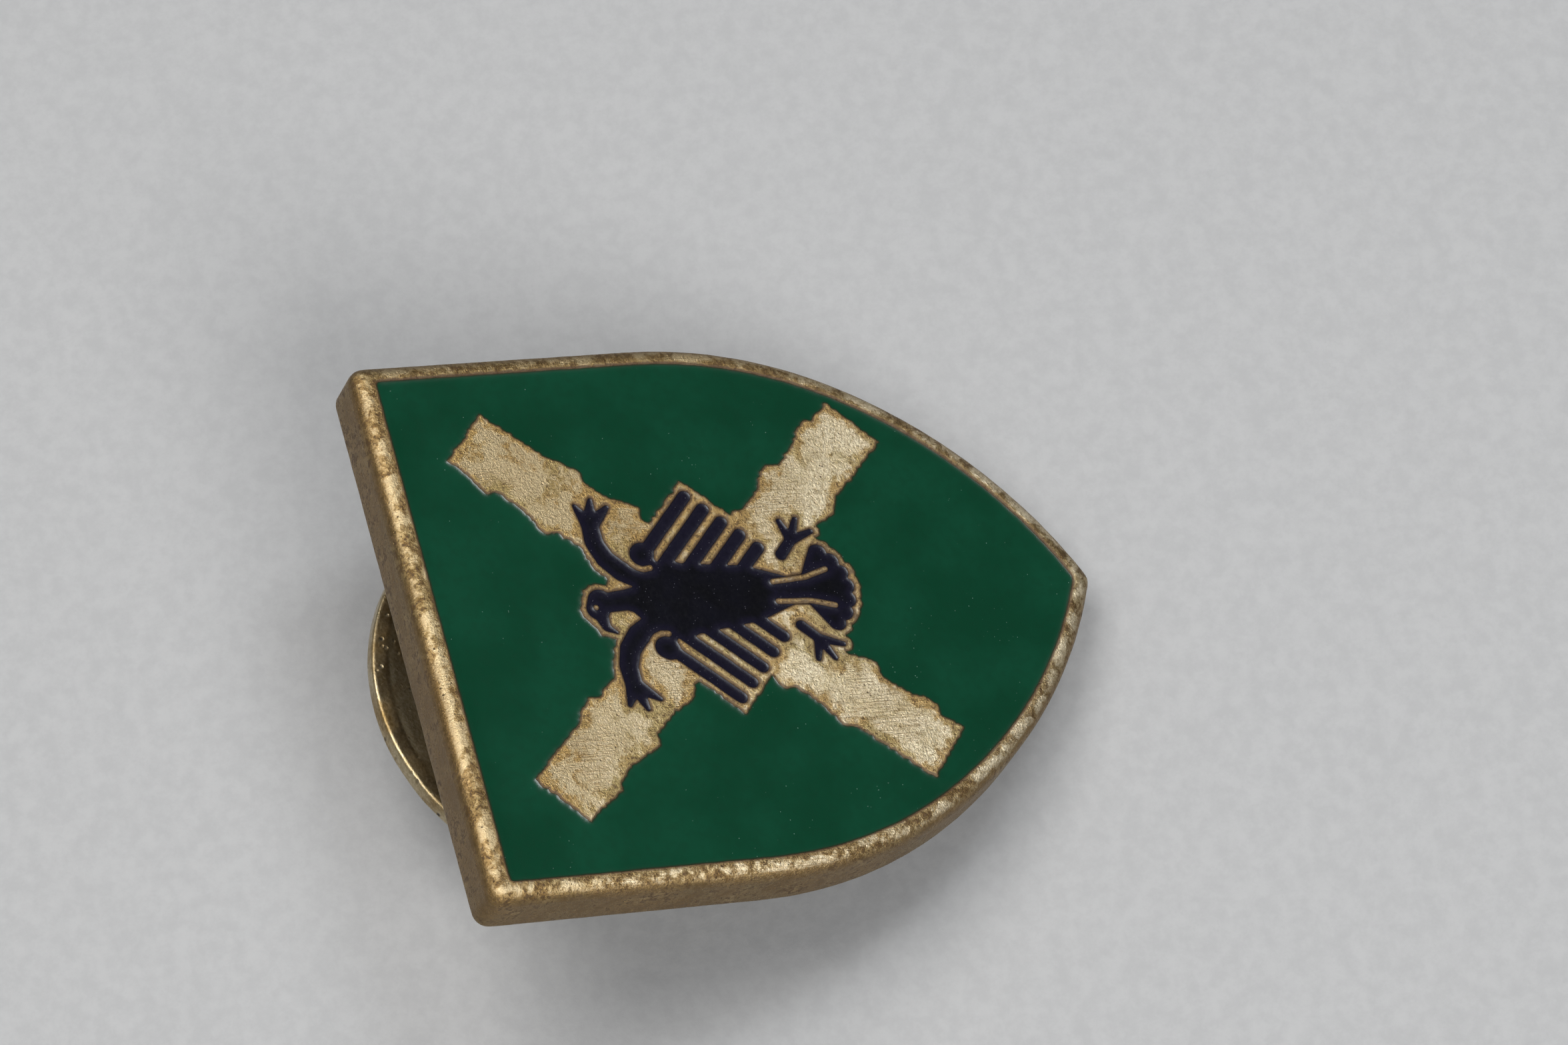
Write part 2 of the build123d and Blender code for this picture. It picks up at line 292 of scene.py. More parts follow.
def patch(loops, spacing, gaps):
    """Triangles over the area between the outlines, fine beside them.

    Returns the points, the triangles inside and the triangles in the holes."""
    boundary = [p for loop in loops for p in loop]
    edges = []
    start = 0
    for loop in loops:
        edges += [(start + i, start + (i + 1) % len(loop)) for i in range(len(loop))]
        start += len(loop)
    extra = []
    for loop in loops:
        for pts, gap in offset_points(loop, gaps):
            keep = inside(pts, loops) & (distances(pts, loops) > 0.8 * gap)
            extra.append(pts[keep])
    low = np.min(boundary, axis=0)
    high = np.max(boundary, axis=0)
    xs = np.arange(low[0], high[0], spacing)
    ys = np.arange(low[1], high[1], spacing * 0.866)
    grid = np.array([(x + (j % 2) * spacing / 2, y) for j, y in enumerate(ys) for x in xs])
    reach = max(gaps) + 0.45 * spacing
    grid = grid[inside(grid, loops)]
    grid = grid[distances(grid, loops) > reach]
    points = np.concatenate([np.array(boundary)] + extra + [grid])
    rounded = {}
    for i, p in enumerate(points[len(boundary) :], len(boundary)):
        rounded.setdefault((round(p[0] / 0.012), round(p[1] / 0.012)), i)
    chosen = list(range(len(boundary))) + sorted(rounded.values())
    coords = [Vector(points[i]) for i in chosen]
    verts, _, faces, _, _, _ = delaunay_2d_cdt(coords, edges, [], 0, 1e-6)
    verts = np.array([(v.x, v.y) for v in verts])
    centres = np.array([verts[list(f)].mean(axis=0) for f in faces])
    within = inside(centres, loops)
    outer = max(loops, key=len_of)
    shell = inside(centres, [outer])
    solid = [f for f, k in zip(faces, within) if k]
    holes = [f for f, k, s in zip(faces, within, shell) if s and not k]
    return verts, solid, holes


def len_of(loop):
    """Extent of an outline, to pick the outermost."""
    pts = np.array(loop)
    return float(np.ptp(pts[:, 0]) + np.ptp(pts[:, 1]))


def rim_edges(triangles):
    """Directed edges that only one of the triangles uses."""
    edges = {}
    for t in triangles:
        for a, b in zip(t, t[1:] + t[:1]):
            if (b, a) in edges:
                del edges[(b, a)]
            else:
                edges[(a, b)] = True
    return list(edges)


def rounding(distance, radius, drop):
    """How far a worn edge falls at a distance from it."""
    t = np.clip(1 - distance / radius, 0, 1)
    return drop * (1 - np.sqrt(np.clip(1 - t * t, 0, 1)))


def ripple(x, y, size, seed):
    """Gentle unevenness whose bumps are about `size` millimetres apart."""
    return noise.noise(Vector((x / size, y / size, seed)))


# ---------------------------------------------------------------- turning lists into objects


def add_object(name, points, faces, edge=None, rim=None):
    """Mesh object from badge coordinates, with the distances to the nearest cell wall and rim."""
    mesh = bpy.data.meshes.new(name)
    place = [to_row @ Vector(p) for p in points]
    mesh.from_pydata(place, [], [tuple(f) for f in faces])
    mesh.validate()
    for label, values in (("edge_mm", edge), ("rim_mm", rim)):
        if values is not None:
            layer = mesh.attributes.new(label, "FLOAT", "POINT")
            layer.data.foreach_set("value", np.asarray(values, dtype=np.float32))
    for polygon in mesh.polygons:
        polygon.use_smooth = True
    obj = bpy.data.objects.new(name, mesh)
    bpy.context.scene.collection.objects.link(obj)
    return obj


def sharpen(obj, angle):
    """Edges steeper than the angle stay crisp, so flat faces don't shade into their walls."""
    mesh = obj.data
    mesh.set_sharp_from_angle(angle=radians(angle))


def make_plate(outline, cells):
    """The struck plate: worn rim, saltire and partitions over sunk cells, and a flat back."""
    loops = [outline] + cells
    verts, metal, holes = patch(loops, 0.16, (0.025, 0.06, 0.11))
    to_cell = distances(verts, cells)
    to_outline = distances(verts, [outline])
    z = -rounding(to_cell, EDGE_WEAR_REACH, EDGE_WEAR_DROP)
    z = z - rounding(to_outline, RIM_WEAR_REACH, RIM_WEAR_DROP)
    z += np.array([0.010 * ripple(x, y, 0.9, 1.0) + 0.004 * ripple(x, y, 0.25, 2.0) for x, y in verts])
    points = [(x, y, h) for (x, y), h in zip(verts, z)]
    edge = list(to_cell)
    faces = [tuple(f) for f in metal]

    sunk = {}
    for f in holes:
        face = []
        for i in f:
            if i not in sunk:
                sunk[i] = len(points)
                points.append((verts[i][0], verts[i][1], CELL_Z))
                edge.append(0.0)
            face.append(sunk[i])
        faces.append(tuple(face))

    centre = np.array(SHIELD_MIDDLE)
    # heights of the rings down the side wall, and how far each is drawn in
    sides = [(-0.46, 0.0), (-0.75, 0.0), (-1.1, 0.0), (-1.5, 0.0), (-1.57, 0.02), (BACK_Z, 0.07)]
    rings = [{} for _ in sides]
    back_rim = {}
    for a, b in rim_edges(metal):
        if to_outline[a] < 1e-3 and to_outline[b] < 1e-3:
            previous = (a, b)
            for ring, (height, inset) in zip(rings, sides):
                here = []
                for i in (a, b):
                    if i not in ring:
                        x, y = verts[i]
                        inward = centre - verts[i]
                        inward /= np.linalg.norm(inward)
                        ring[i] = len(points)
                        points.append((x + inward[0] * inset, y + inward[1] * inset, height))
                        edge.append(1.0)
                    here.append(ring[i])
                faces.append((previous[0], here[0], here[1], previous[1]))
                previous = tuple(here)
            back_rim[previous[0]] = previous[1]
        elif a in sunk and b in sunk:
            faces.append((a, sunk[a], sunk[b], b))

    start = next(iter(back_rim))
    ring = [start]
    while back_rim[ring[-1]] != start:
        ring.append(back_rim[ring[-1]])
    back_outline = [(points[i][0], points[i][1]) for i in ring]
    seat = circle(SEAT_RADIUS, 96)
    back, annulus, seat_floor = patch([back_outline, seat], 0.35, (0.08,))
    low = []
    for x, y in back:
        low.append(len(points))
        points.append((x, y, BACK_Z + 0.006 * ripple(x, y, 1.5, 5.0) + 0.003 * ripple(x, y, 0.3, 6.0)))
        edge.append(1.0)
    faces += [tuple(low[i] for i in reversed(f)) for f in annulus]
    raised = {}
    for f in seat_floor:
        face = []
        for i in reversed(f):
            if i not in raised:
                raised[i] = len(points)
                points.append((back[i][0], back[i][1], BACK_Z + SEAT_DEPTH))
                edge.append(1.0)
            face.append(raised[i])
        faces.append(tuple(face))
    for a, b in rim_edges(annulus):
        if a in raised and b in raised:
            faces.append((low[b], raised[b], raised[a], low[a]))

    rim = list(to_outline) + [0.0 if e < 1 else -1.0 for e in edge[len(verts) :]]
    obj = add_object("Plate", points, faces, edge, rim)
    weld(obj, 0.0004)
    sharpen(obj, 50)
    return obj


def weld(obj, gap):
    """Joins vertices of one mesh that lie on top of each other."""
    bm = bmesh.new()
    bm.from_mesh(obj.data)
    bmesh.ops.remove_doubles(bm, verts=bm.verts, dist=gap * MM)
    bmesh.ops.recalc_face_normals(bm, faces=bm.faces)
    bm.to_mesh(obj.data)
    bm.free()


def circle(radius, count):
    """Points round the post's axis."""
    return [
        (radius * cos(2 * pi * i / count), POST_Y + radius * sin(2 * pi * i / count))
        for i in range(count)
    ]


def make_enamel(name, loops, level, climb, spacing, seed):
    """Fused enamel in its cell: a level pool that climbs a little at the metal."""
    verts, top, _ = patch(loops, spacing, (0.02, 0.05, 0.1))
    edge = distances(verts, loops)
    rise, spread = climb
    z = level + rise * np.exp(-edge / spread)
    z += np.array([0.0035 * ripple(x, y, 1.7, seed) + 0.0008 * ripple(x, y, 0.35, seed) for x, y in verts])
    count = len(verts)
    points = [(x, y, h) for (x, y), h in zip(verts, z)]
    points += [(x, y, CELL_Z + 0.002) for x, y in verts]
    faces = [tuple(f) for f in top]
    faces += [tuple(i + count for i in reversed(f)) for f in top]
    faces += [(a, a + count, b + count, b) for a, b in rim_edges(top)]
    obj = add_object(name, points, faces, list(edge) * 2)
    weld(obj, 0.0004)
    sharpen(obj, 60)
    return obj


def turned(name, profile, count, roughness, seed):
    """Closed piece of revolution about the post from a closed run of (radius, z)."""
    points = []
    for i in range(count):
        turn = 2 * pi * i / count
        for r, z in profile:
            x, y = r * cos(turn), r * sin(turn)
            push = roughness * noise.noise(Vector((x * 1.4, y * 1.4, z * 1.4 + seed)))
            points.append((x, POST_Y + y, z + push))
    size = len(profile)
    faces = []
    for i in range(count):
        k = (i + 1) % count
        for j in range(size):
            m = (j + 1) % size
            faces.append((i * size + j, k * size + j, k * size + m, i * size + m))
    return add_object(name, points, faces)


def rounded_profile(corners, radius, steps=4):
    """Closed (radius, z) polygon with each corner eased by a short curve."""
    out = []
    count = len(corners)
    for i in range(count):
        before = Vector(corners[i - 1])
        here = Vector(corners[i])
        after = Vector(corners[(i + 1) % count])
        reach = min(radius, 0.45 * (before - here).length, 0.45 * (after - here).length)
        a = here + (before - here).normalized() * reach
        b = here + (after - here).normalized() * reach
        for s in range(steps + 1):
            t = s / steps
            out.append(tuple((1 - t) ** 2 * a + 2 * t * (1 - t) * here + t * t * b))
    return out


def divided(profile, step):
    """Closed (radius, z) polygon with its long sides divided."""
    out = []
    for a, b in zip(profile, profile[1:] + profile[:1]):
        a, b = Vector(a), Vector(b)
        count = max(1, int((b - a).length / step))
        out += [tuple(a.lerp(b, i / count)) for i in range(count)]
    return out


def make_disc():
    """Pressed backing disc with a rolled lip, a stepped dish and a raised hub."""
    corners = [
        (DISC_HOLE_RADIUS, DISC_FLOOR_Z),
        (2.9, DISC_FLOOR_Z),
        (3.1, DISC_FLOOR_Z - 0.05),
        (4.55, DISC_FLOOR_Z - 0.02),
        (5.25, DISC_RIM_Z - 0.12),
        (5.45, DISC_RIM_Z),
        (DISC_RADIUS, DISC_RIM_Z),
        (DISC_RADIUS, DISC_LIP_BACK_Z),
        (5.3, DISC_LIP_BACK_Z - 0.06),
        (4.6, DISC_BACK_Z),
        (DISC_HOLE_RADIUS, DISC_BACK_Z),
    ]
    profile = divided(rounded_profile(corners, 0.12, 5), 0.12)
    disc = turned("Backing_disc", profile, 256, 0.02, 4.0)
    sharpen(disc, 60)
    return disc


def make_post():
    """Turned post: flange, short neck and a rolled helical thread with a bevelled end."""
    count = 72
    seat_z = BACK_Z + SEAT_DEPTH
    flange_z = seat_z - FLANGE_THICK
    smooth_part = [
        (0.001, seat_z),
        (FLANGE_RADIUS, seat_z),
        (FLANGE_RADIUS, flange_z + 0.08),
        (FLANGE_RADIUS - 0.03, flange_z + 0.02),
        (FLANGE_RADIUS - 0.1, flange_z),
        (POST_RADIUS + 0.06, flange_z),
        (POST_RADIUS, flange_z - 0.05),
        (POST_RADIUS, flange_z - 0.2),
    ]
    start = flange_z - 0.22
    levels = np.arange(start, POST_END_Z, -0.025)
    depth = 0.24
    points = []
    rows = []
    for r, z in smooth_part:
        rows.append(len(points))
        points += [ring_point(r, z, i, count) for i in range(count)]
    for z in levels:
        rows.append(len(points))
        lead_in = min(1.0, (start - z) / 0.3)
        bevel = max(0.0, POST_END_Z + 0.25 - z)
        for i in range(count):
            phase = (z / THREAD_PITCH - i / count) % 1.0
            groove = 0.5 + 0.5 * cos(2 * pi * phase)
            groove = min(1.0, groove * 1.15)
            r = min(POST_RADIUS - depth * groove * lead_in, POST_RADIUS - bevel)
            points.append(ring_point(r, z, i, count))
    rows.append(len(points))
    points += [ring_point(0.001, POST_END_Z, i, count) for i in range(count)]
    faces = []
    for a, b in zip(rows, rows[1:]):
        for i in range(count):
            k = (i + 1) % count
            faces.append((a + i, b + i, b + k, a + k))
    post = add_object("Screw_post", points, faces)
    sharpen(post, 45)
    return post


def ring_point(r, z, i, count):
    """Point number `i` of `count` on a ring round the post's axis."""
    turn = 2 * pi * i / count
    return (r * cos(turn), POST_Y + r * sin(turn), z)


def make_nut():
    """Thin thumb nut: fluted edge with eased corners and a countersunk bore."""
    steps_per_flute = 12
    count = NUT_FLUTES * steps_per_flute
    front = DISC_BACK_Z - NUT_GAP
    back = front - NUT_THICK
    rows = [
        (NUT_BORE_RADIUS, front - 0.12, 0),
        (NUT_BORE_RADIUS + 0.12, front, 0),
        (1.9, front, 0),
        (NUT_RADIUS - 0.12, front, 0.3),
        (NUT_RADIUS - 0.03, front - 0.05, 0.8),
        (NUT_RADIUS, front - 0.13, 1),
        (NUT_RADIUS, (front + back) / 2, 1),
        (NUT_RADIUS, back + 0.13, 1),
        (NUT_RADIUS - 0.03, back + 0.05, 0.8),
        (NUT_RADIUS - 0.12, back, 0.3),
        (1.95, back, 0),
        (1.9, back + 0.05, 0),
        (1.6, back + 0.05, 0),
        (1.55, back, 0),
        (NUT_BORE_RADIUS + 0.12, back, 0),
        (NUT_BORE_RADIUS, back + 0.12, 0),
    ]
    points = []
    for r, z, fluting in rows:
        for i in range(count):
            phase = (i % steps_per_flute) / steps_per_flute
            cut = 0.15 * max(0.0, cos(2 * pi * phase)) ** 0.6
            points.append(ring_point(r - cut * fluting, z, i, count))
    faces = []
    size = len(rows)
    for j in range(size):
        m = (j + 1) % size
        for i in range(count):
            k = (i + 1) % count
            faces.append((j * count + i, m * count + i, m * count + k, j * count + k))
    nut = add_object("Thumb_nut", points, faces)
    weld(nut, 0.0001)
    sharpen(nut, 40)
    return nut


def make_solder():
    """Uneven bead of solder in the ring between the flange and its seat."""
    count = 128
    section = 14
    points = []
    for i in range(count):
        turn = 2 * pi * i / count
        lump = 0.035 * noise.noise(Vector((3 * cos(turn), 3 * sin(turn), 9.0)))
        for j in range(section):
            around = 2 * pi * j / section
            r = FLANGE_RADIUS + 0.14 + (0.19 + lump) * cos(around)
            z = BACK_Z + (0.14 + lump) * sin(around)
            points.append((r * cos(turn), POST_Y + r * sin(turn), z))
    faces = []
    for i in range(count):
        k = (i + 1) % count
        for j in range(section):
            m = (j + 1) % section
            faces.append((i * section + j, k * section + j, k * section + m, i * section + m))
    return add_object("Solder_bead", points, faces)


# ---------------------------------------------------------------- materials


class Shader:
    """Small helper round one material's node tree."""

    def __init__(self, name):
        self.material = bpy.data.materials.new(name)
        self.material.use_nodes = True
        self.tree = self.material.node_tree
        self.bsdf = self.tree.nodes["Principled BSDF"]
        coords = self.add("ShaderNodeTexCoord")
        mapping = self.add("ShaderNodeMapping")
        mapping.inputs["Rotation"].default_value = (-LEAN, 0, 0)
        mapping.inputs["Scale"].default_value = (1000, 1000, 1000)
        self.link(coords.outputs["Object"], mapping.inputs["Vector"])
        self.position = mapping.outputs["Vector"]

    def add(self, kind, **values):
        node = self.tree.nodes.new(kind)
        for key, value in values.items():
            setattr(node, key, value)
        return node

    def link(self, source, target):
        self.tree.links.new(source, target)

    def put(self, socket, value):
        """Link an output, or set a constant."""
        if isinstance(value, bpy.types.NodeSocket):
            self.link(value, socket)
        else:
            socket.default_value = value

    def stretched(self, scale):
        node = self.add("ShaderNodeMapping")
        node.inputs["Scale"].default_value = scale
        self.link(self.position, node.inputs["Vector"])
        return node.outputs["Vector"]

    def noise(self, size, detail=4.0, roughness=0.55, distortion=0.0, vector=None):
        """Noise whose features are about `size` millimetres across."""
        node = self.add("ShaderNodeTexNoise")
        node.inputs["Scale"].default_value = 1.0 / size
        node.inputs["Detail"].default_value = detail
        node.inputs["Roughness"].default_value = roughness
        node.inputs["Distortion"].default_value = distortion
        self.link(vector or self.position, node.inputs["Vector"])
        return node.outputs["Fac"]

    def cells(self, size):
        """Distance to the nearest of scattered points about `size` millimetres apart."""
        node = self.add("ShaderNodeTexVoronoi")
        node.inputs["Scale"].default_value = 1.0 / size
        self.link(self.position, node.inputs["Vector"])
        return node.outputs["Distance"]

    def span(self, value, low, high, out_low=0.0, out_high=1.0):
        """Smooth step of the value between two limits."""
        node = self.add("ShaderNodeMapRange", interpolation_type="SMOOTHSTEP")
        self.put(node.inputs["Value"], value)
        node.inputs["From Min"].default_value = low
        node.inputs["From Max"].default_value = high
        node.inputs["To Min"].default_value = out_low
        node.inputs["To Max"].default_value = out_high
        return node.outputs["Result"]

    def math(self, operation, a, b=0.0):
        node = self.add("ShaderNodeMath", operation=operation)
        self.put(node.inputs[0], a)
        self.put(node.inputs[1], b)
        return node.outputs["Value"]

    def mix(self, factor, a, b):
        """Colour between `a` at factor 0 and `b` at factor 1."""
        node = self.add("ShaderNodeMix", data_type="RGBA")
        self.put(node.inputs["Factor"], factor)
        for socket, value in ((node.inputs[6], a), (node.inputs[7], b)):
            self.put(socket, (*value, 1.0) if isinstance(value, tuple) else value)
        return node.outputs[2]

    def attribute(self, name):
        return self.add("ShaderNodeAttribute", attribute_name=name).outputs["Fac"]

    def bump(self, height, strength, distance, normal=None):
        """Bump whose height of 1 stands for `distance` millimetres."""
        node = self.add("ShaderNodeBump")
        node.inputs["Strength"].default_value = strength
        node.inputs["Distance"].default_value = distance * MM
        self.link(height, node.inputs["Height"])
        if normal is not None:
            self.link(normal, node.inputs["Normal"])
        return node.outputs["Normal"]

    def finish(self, **values):
        """Fill the shader's sockets and give back the material."""
        for key, value in values.items():
            socket = self.bsdf.inputs[key.replace("_", " ")]
            if isinstance(value, tuple) and len(value) == 3:
                value = (*value, 1.0)
            self.put(socket, value)
        return self.material


def gilt_material():
    """Old gilding: champagne face with glints, golden-brown film, dark grit and brush strokes."""
    s = Shader("Gilt_brass")
    # layers of noise, from fine grit to broad blotches, and the masks of rim and wall
    grit = s.noise(0.08, 5.0, 0.75)
    glint = s.noise(0.06, 2.0, 0.6)
    grain = s.noise(0.1, 5.0, 0.7)
    coarse = s.noise(0.2, 4.0, 0.66, 0.3)
    mottle = s.noise(0.8, 4.0, 0.6, 0.5)
    blotch = s.noise(2.4, 3.0, 0.55)
    strokes = s.noise(0.03, 3.0, 0.6, 0.0, s.stretched((1.0, 0.035, 1.0)))
    brushed = s.span(s.noise(1.9, 2.0), 0.44, 0.58)
    strokes = s.math("MULTIPLY", s.span(strokes, 0.45, 0.65), brushed)
    pits = s.span(s.cells(0.2), 0.05, 0.2, 1.0, 0.0)
    pits = s.math("MULTIPLY", pits, s.span(s.noise(0.5, 3.0), 0.52, 0.6))
    edge = s.attribute("edge_mm")
    rim = s.attribute("rim_mm")
    on_rim = s.span(rim, 0.5, 0.75, 1.0, 0.0)
    on_wall = s.span(rim, 0.02, 0.3, 1.0, 0.0)
    corner = s.add("ShaderNodeVectorMath", operation="DOT_PRODUCT")
    s.link(s.position, corner.inputs[0])
    corner.inputs[1].default_value = (0.6, 0.8, 0.0)

    # where grime has packed, where the film covers the metal and where grit shows through
    seam_edge = s.math("ADD", edge, s.math("MULTIPLY", s.math("SUBTRACT", coarse, 0.5), 0.16))
    seam = s.span(seam_edge, 0.03, 0.095, 1.0, 0.0)
    reach = s.math("SUBTRACT", edge, s.math("MULTIPLY", s.math("SUBTRACT", mottle, 0.42), 1.3))
    cover = s.span(reach, -0.1, 0.45, 0.85, 0.0)
    patchy = s.math("MULTIPLY", s.span(blotch, 0.44, 0.6), s.span(mottle, 0.42, 0.62, 0.0, 0.45))
    cover = s.math("MAXIMUM", cover, patchy)
    dulled = s.span(corner.outputs["Value"], -1.0, 5.0)
    cover = s.math("MAXIMUM", cover, s.math("MULTIPLY", dulled, s.span(mottle, 0.36, 0.62, 0.1, 0.6)))
    cover = s.math("MAXIMUM", cover, s.math("MULTIPLY", on_rim, s.span(mottle, 0.38, 0.6, 0.1, 0.85)))
    # walls, back and cell floors are filmed over almost fully: partly tarnish, partly painted shade on the
    # plate's sides
    cover = s.math("MAXIMUM", cover, s.math("MULTIPLY", on_wall, 0.95))
    film = s.span(s.math("ADD", cover, s.math("MULTIPLY", coarse, 1.9)), 1.25, 1.75, 0.0, 0.85)
    limit = s.span(cover, 0.0, 1.0, 0.65, 0.53)
    limit = s.math("ADD", limit, s.span(coarse, 0.38, 0.62, 0.06, -0.035))
    dark = s.span(s.math("SUBTRACT", grit, limit), 0.0, 0.03)
    dark = s.math("MAXIMUM", dark, pits)
    shine = s.span(glint, 0.58, 0.68)

    # colour, then gloss and relief
    bright = s.mix(s.span(grain, 0.34, 0.66), GILT_SHADE, GILT_LIGHT)
    bright = s.mix(s.span(mottle, 0.4, 0.66, 0.0, 0.5), bright, GILT_HONEY)
    bright = s.mix(s.math("MULTIPLY", dulled, 0.85), bright, GILT_DULL)
    bright = s.mix(s.math("MULTIPLY", strokes, 0.7), bright, GILT_STROKE)
    brown = s.mix(s.span(blotch, 0.45, 0.62), FILM_TAN, FILM_OLIVE)
    brown = s.mix(s.math("MULTIPLY", on_rim, 0.7), brown, FILM_RIM)
    colour = s.mix(film, bright, brown)
    clumps = s.math("MULTIPLY", s.span(mottle, 0.44, 0.6), s.span(coarse, 0.42, 0.58))
    clumps = s.math("MULTIPLY", clumps, s.span(on_rim, 0.0, 1.0, 0.25, 0.8))
    colour = s.mix(clumps, colour, CLUMP_BROWN)
    colour = s.mix(s.math("MULTIPLY", dark, 0.85), colour, GRIT_BROWN)
    # brown mottling over walls, back and cell floors: partly tarnish, partly painted shade darkening the
    # plate's sides
    wall_tarnish_and_shade = s.math("ADD", s.math("MULTIPLY", mottle, 0.6), s.math("MULTIPLY", coarse, 0.4))
    wall_tarnish_and_shade = s.math("MULTIPLY", on_wall, s.span(wall_tarnish_and_shade, 0.42, 0.58, 0.85, 0.1))
    colour = s.mix(wall_tarnish_and_shade, colour, WALL_TARNISH_AND_SHADE)
    colour = s.mix(s.math("MULTIPLY", seam, 0.9), colour, SEAM_BROWN)
    rough = s.math("SUBTRACT", s.span(grain, 0.3, 0.75, 0.34, 0.46), s.math("MULTIPLY", shine, 0.12))
    rough = s.math("ADD", rough, s.math("MULTIPLY", s.math("MAXIMUM", dark, seam), 0.18))
    normal = s.bump(grit, 0.9, 0.022)
    normal = s.bump(glint, 0.8, 0.014, normal)
    normal = s.bump(coarse, 0.35, 0.03, normal)
    normal = s.bump(strokes, 0.5, 0.012, normal)
    normal = s.bump(s.math("MULTIPLY", pits, -1.0), 0.8, 0.035, normal)
    metallic = s.span(s.math("MAXIMUM", s.math("MULTIPLY", dark, 0.7), seam), 0.0, 1.0, 1.0, 0.3)
    return s.finish(Base_Color=colour, Roughness=rough, Metallic=metallic, Normal=normal)


def green_material():
    """Opaque green enamel: polished, with faint clouding, bubbles and dust."""
    s = Shader("Green_enamel")
    cloud = s.noise(2.2, 3.0, 0.5)
    fine = s.noise(0.25, 4.0, 0.6)
    bubbles = s.cells(0.3)
    bubble = s.span(bubbles, 0.02, 0.085, 1.0, 0.0)
    rare = s.span(s.noise(0.7, 2.0), 0.56, 0.66)
    bubble = s.math("MULTIPLY", bubble, rare)
    dust = s.span(s.cells(0.17), 0.02, 0.1, 1.0, 0.0)
    dust = s.math("MULTIPLY", dust, s.span(s.noise(1.3, 3.0, 0.6), 0.55, 0.64))
    edge = s.attribute("edge_mm")
    seam = s.span(edge, 0.0, 0.07, 1.0, 0.0)
    colour = s.mix(s.span(cloud, 0.3, 0.7), GREEN_DEEP, GREEN_PALE)
    colour = s.mix(s.span(fine, 0.4, 0.7, 0.0, 0.35), colour, GREEN_FLECK)
    colour = s.mix(s.math("MULTIPLY", bubble, 0.35), colour, GREEN_BUBBLE)
    colour = s.mix(s.math("MULTIPLY", dust, 0.8), colour, GREEN_DUST)
    colour = s.mix(s.math("MULTIPLY", seam, 0.75), colour, GREEN_SEAM)
    rough = s.math("ADD", s.span(fine, 0.3, 0.8, 0.08, 0.14), s.math("MULTIPLY", bubble, 0.25))
    rough = s.math("ADD", rough, s.span(edge, 0.02, 0.2, 0.12, 0.0))
    normal = s.bump(cloud, 0.12, 0.03)
    normal = s.bump(fine, 0.08, 0.006, normal)
    normal = s.bump(s.math("MULTIPLY", bubble, -1.0), 0.35, 0.012, normal)
    s.bsdf.inputs["IOR"].default_value = 1.52
    s.bsdf.inputs["Specular IOR Level"].default_value = 0.35
    s.bsdf.inputs["Coat Weight"].default_value = 0.1
    s.bsdf.inputs["Coat Roughness"].default_value = 0.06
    return s.finish(Base_Color=colour, Roughness=rough, Metallic=0.0, Normal=normal)


def navy_material():
    """Near-black blue enamel with tiny sparkling specks."""
    s = Shader("Navy_enamel")
    cloud = s.noise(0.8, 3.0, 0.5)
    fine = s.noise(0.09, 4.0, 0.65)
    specks = s.span(s.cells(0.11), 0.03, 0.13, 1.0, 0.0)
    specks = s.math("MULTIPLY", specks, s.span(s.noise(0.4, 2.0), 0.46, 0.56))
    edge = s.attribute("edge_mm")
    thin = s.span(edge, 0.08, 0.3, 1.0, 0.0)
    deep = s.mix(s.span(cloud, 0.3, 0.7), NAVY_DEEP, NAVY_PALE)
    colour = s.mix(s.math("MULTIPLY", thin, 0.8), deep, NAVY_THIN)
    colour = s.mix(s.math("MULTIPLY", specks, 0.6), colour, NAVY_SPECK)
    rough = s.math("ADD", s.span(fine, 0.3, 0.75, 0.14, 0.22), s.span(edge, 0.02, 0.12, 0.12, 0.0))
    normal = s.bump(fine, 0.22, 0.010)
    normal = s.bump(specks, 0.5, 0.008, normal)
    s.bsdf.inputs["IOR"].default_value = 1.5
    s.bsdf.inputs["Specular IOR Level"].default_value = 0.3
    s.bsdf.inputs["Coat Weight"].default_value = 0.08
    s.bsdf.inputs["Coat Roughness"].default_value = 0.1
    return s.finish(Base_Color=colour, Roughness=rough, Metallic=0.0, Normal=normal)


def nickel_material():
    """Worn nickel plate over brass: brown film and black pits."""
    s = Shader("Aged_nickel")
    film = s.noise(1.1, 5.0, 0.62, 0.3)
    grain = s.noise(0.09, 6.0, 0.7)
    pits = s.span(s.cells(0.34), 0.04, 0.26, 1.0, 0.0)
    pits = s.math("MULTIPLY", pits, s.span(s.noise(0.8, 3.0), 0.46, 0.6))
    bright = s.mix(s.span(grain, 0.35, 0.7), NICKEL_SHADE, NICKEL_LIGHT)
    brown = s.mix(s.span(grain, 0.35, 0.7), NICKEL_FILM_DARK, NICKEL_FILM_PALE)
    colour = s.mix(s.span(film, 0.36, 0.74, 0.15, 0.95), bright, brown)
    colour = s.mix(pits, colour, NICKEL_PIT)
    rough = s.math("ADD", s.span(film, 0.35, 0.65, 0.28, 0.45), s.math("MULTIPLY", pits, 0.3))
    normal = s.bump(grain, 0.5, 0.02)
    normal = s.bump(s.math("MULTIPLY", pits, -1.0), 0.9, 0.05, normal)
    metallic = s.span(pits, 0.0, 1.0, 1.0, 0.3)
    return s.finish(Base_Color=colour, Roughness=rough, Metallic=metallic, Normal=normal)


